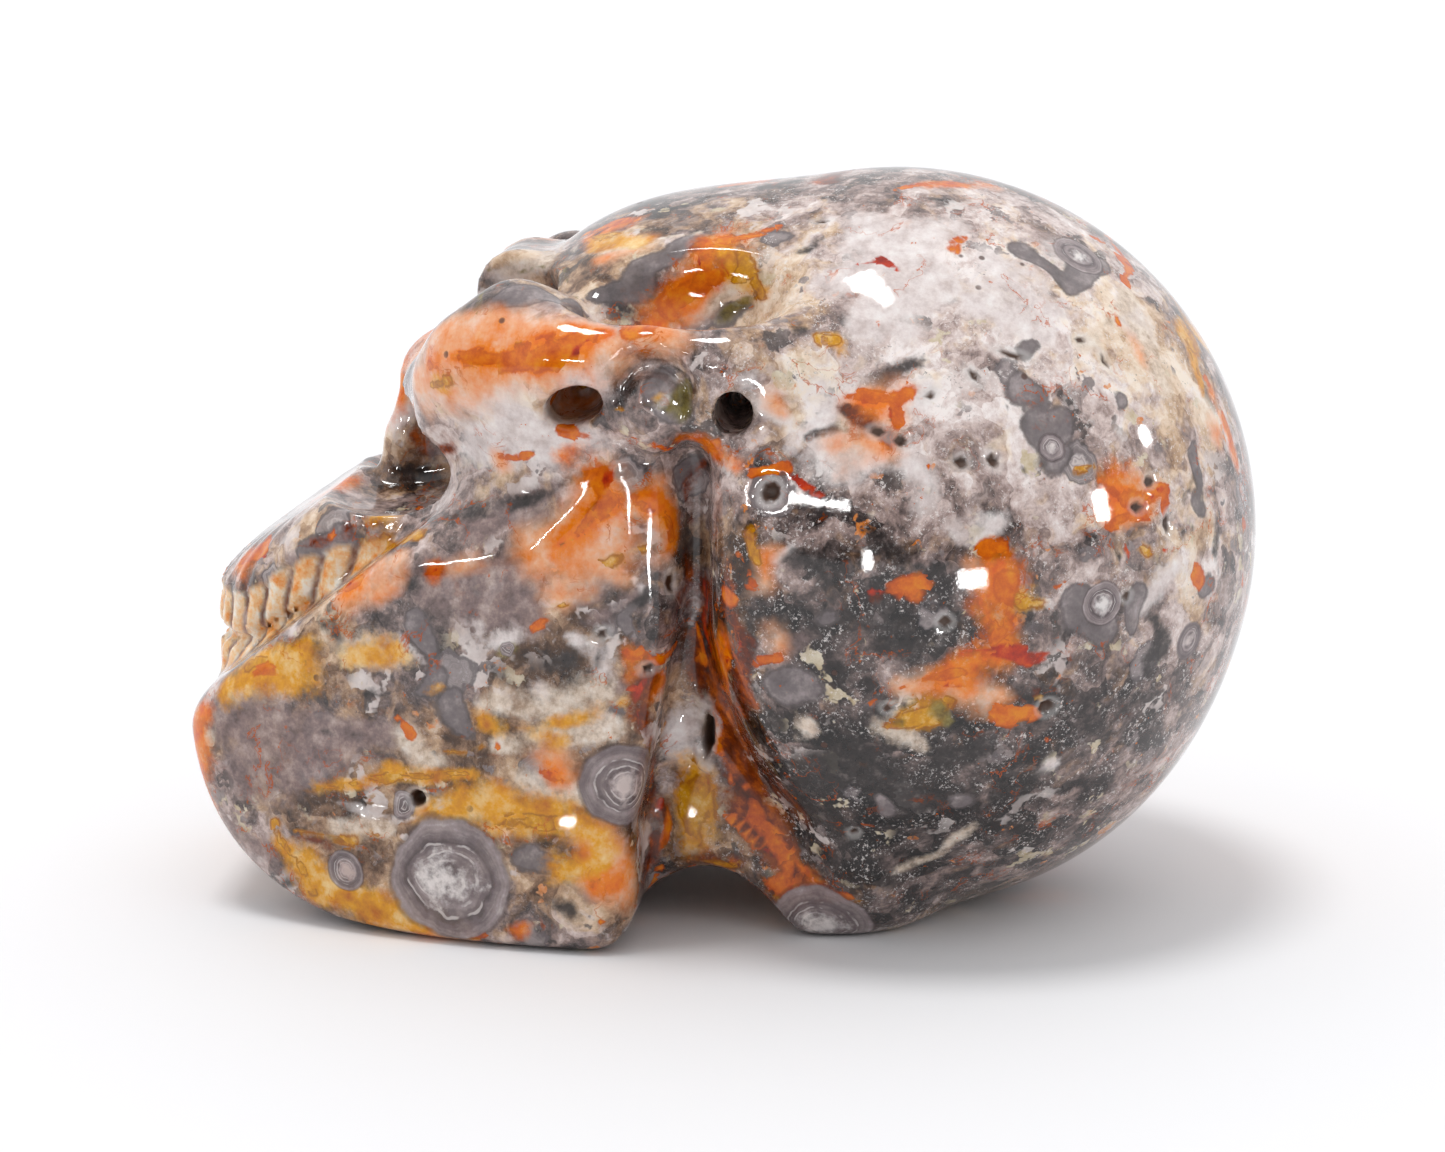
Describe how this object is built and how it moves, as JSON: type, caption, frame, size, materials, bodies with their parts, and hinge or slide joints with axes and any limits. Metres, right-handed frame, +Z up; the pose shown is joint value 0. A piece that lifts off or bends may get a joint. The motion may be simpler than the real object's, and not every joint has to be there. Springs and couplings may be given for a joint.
{
  "type": "agate skull carving",
  "caption": "Palm-sized human skull carved from one piece of banded, mottled agate and polished all over, to stand on its jaw corners and the base of the skull.",
  "frame": {"origin": "middle of the outline on the plane that the carving stands on", "axes": "+Z up, the face towards -Y, the skull's left side at +X"},
  "size_m": [0.0326, 0.0495, 0.0343],
  "materials": {
    "agate": "polished crazy lace agate, grey and white with orange, red and ochre veins"
  },
  "bodies": {
    "root": {"skull": "agate"}
  },
  "joints": []
}
